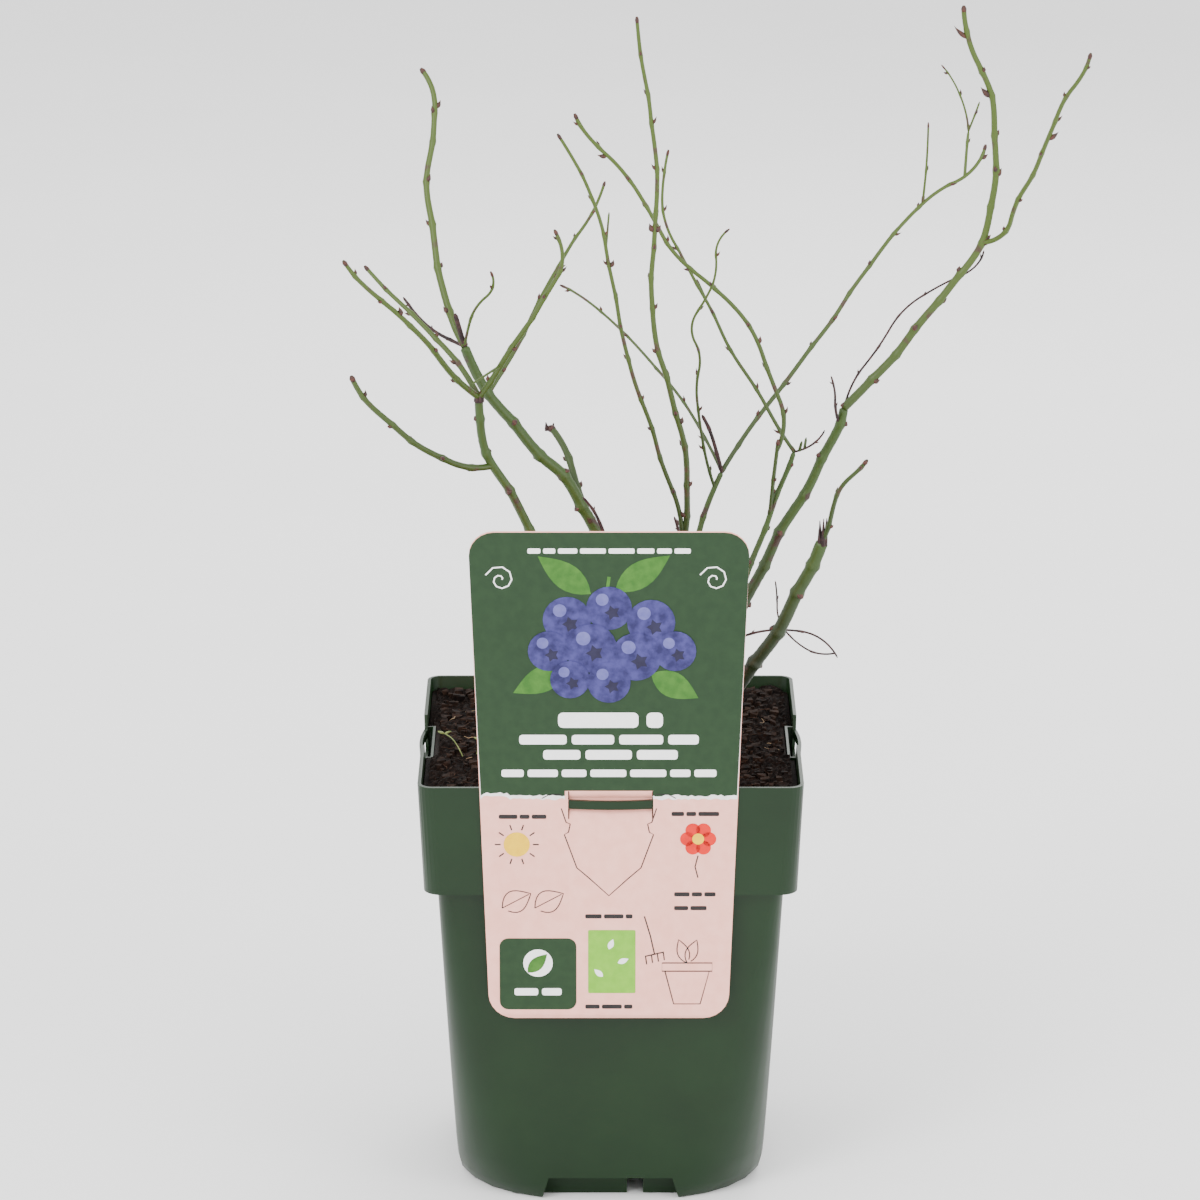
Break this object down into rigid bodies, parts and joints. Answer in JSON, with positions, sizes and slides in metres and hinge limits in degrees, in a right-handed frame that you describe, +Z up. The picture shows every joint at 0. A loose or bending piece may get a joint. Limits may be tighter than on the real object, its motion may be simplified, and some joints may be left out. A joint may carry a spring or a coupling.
{
  "type": "potted blueberry bush",
  "caption": "Bare winter blueberry bush with green canes, boughs and twigs in a square dark green plastic pot with soil and a hang label.",
  "frame": {"origin": "middle of the pot's flat underside", "axes": "+Z up along the pot's axis, the label hangs on the -Y side"},
  "size_m": [0.2445, 0.1429, 0.4097],
  "materials": {
    "pot_plastic": "satin",
    "peat": "rough",
    "label_sheet": "satin",
    "crown_bark": "rough",
    "cane_bark": "satin",
    "shoot_bark": "satin",
    "dead_bark": "rough",
    "twig_mass": "satin"
  },
  "bodies": {
    "root": {"bough_centre": "shoot_bark", "bough_cross_back": "shoot_bark", "bough_inner_back": "shoot_bark", "bough_left_back": "shoot_bark", "bough_left_front": "shoot_bark", "bough_left_inner": "shoot_bark", "bough_left_low": "shoot_bark", "bough_left_tall": "shoot_bark", "bough_long_back": "shoot_bark", "bough_long_front": "shoot_bark", "bough_new_right": "shoot_bark", "bough_outer": "shoot_bark", "bough_slender": "shoot_bark", "bough_sweep": "shoot_bark", "bough_tall": "shoot_bark", "bough_zigzag": "shoot_bark", "cane_crooked": "cane_bark", "cane_forked": "cane_bark", "cane_left": "cane_bark", "cane_middle": "cane_bark", "cane_slender": "cane_bark", "cane_stout": "cane_bark", "cane_tall": "cane_bark", "label": "label_sheet", "pot": "pot_plastic", "root_crown": "crown_bark", "soil": "peat", "spur_dead_right": "dead_bark", "stub_cut_fork": "shoot_bark", "stub_cut_left": "shoot_bark", "stub_dead_left": "dead_bark", "stub_dead_middle": "dead_bark", "twig_curled": "shoot_bark", "twig_dead_left": "dead_bark", "twig_dead_link": "dead_bark", "twig_dead_low": "dead_bark", "twig_dead_vine": "dead_bark", "twig_dead_wire": "dead_bark", "twig_short": "dead_bark", "twigs_centre": "twig_mass", "twigs_cross_back": "twig_mass", "twigs_inner_back": "twig_mass", "twigs_left_back": "twig_mass", "twigs_left_front": "twig_mass", "twigs_left_inner": "twig_mass", "twigs_left_low": "twig_mass", "twigs_left_tall": "twig_mass", "twigs_long_back": "twig_mass", "twigs_long_front": "twig_mass", "twigs_new_right": "twig_mass", "twigs_outer": "twig_mass", "twigs_slender": "twig_mass", "twigs_sweep": "twig_mass", "twigs_tall": "twig_mass", "twigs_zigzag": "twig_mass"}
  },
  "joints": []
}
